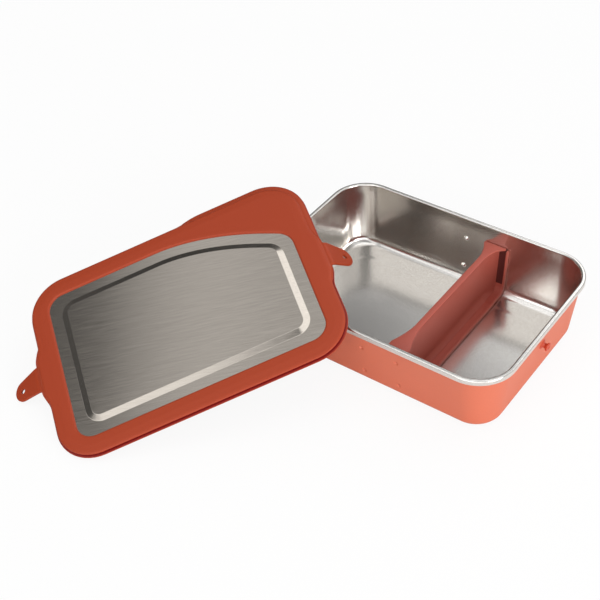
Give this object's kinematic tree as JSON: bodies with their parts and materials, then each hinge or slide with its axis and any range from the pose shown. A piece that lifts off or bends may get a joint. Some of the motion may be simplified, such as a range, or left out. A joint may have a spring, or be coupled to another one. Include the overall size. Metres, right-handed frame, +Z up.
{
  "type": "lunch box",
  "caption": "Deep-drawn steel lunch box with a terracotta coat and silicone divider, and a steel and silicone lid with two pull tabs leaning on its rim.",
  "frame": {"origin": "centre of the flat base panel that the box stands on", "axes": "+Z up, +X along the box towards the end with the visible peg, +Y to the back, away from the lid"},
  "size_m": [0.3247, 0.2948, 0.083],
  "materials": {
    "steel": "satin",
    "lid_steel": "finely brushed along its length",
    "coat": "matt powder coat",
    "orange_silicone": "satin silicone",
    "brick_silicone": "matt silicone"
  },
  "bodies": {
    "box": {"box_body": "steel", "outer_coat": "coat", "peg_right": "coat", "peg_left": "coat"},
    "divider": {"divider": "brick_silicone"},
    "lid": {"lid_plate": "lid_steel", "lid_frame": "orange_silicone"},
    "tab_right": {"lid_tab_right": "orange_silicone"},
    "tab_left": {"lid_tab_left": "orange_silicone"}
  },
  "joints": [
    {"name": "lid_lift", "type": "slide", "parent": "box", "child": "lid", "axis": [0, 0, 1], "range_m": [0, 0.1]},
    {"name": "divider_lift", "type": "slide", "parent": "box", "child": "divider", "axis": [0, 0, 1], "range_m": [0, 0.06]},
    {"name": "tab_right_bend", "type": "hinge", "parent": "lid", "child": "tab_right", "pos_m": [-0.04766, -0.03438, 0.07074], "axis": [-0.7906, 0.5763, 0.2069], "range_deg": [-53, 37]},
    {"name": "tab_left_bend", "type": "hinge", "parent": "lid", "child": "tab_left", "pos_m": [-0.17894, -0.19391, 0.01346], "axis": [0.7906, -0.5763, -0.2069], "range_deg": [-21, 67]}
  ]
}
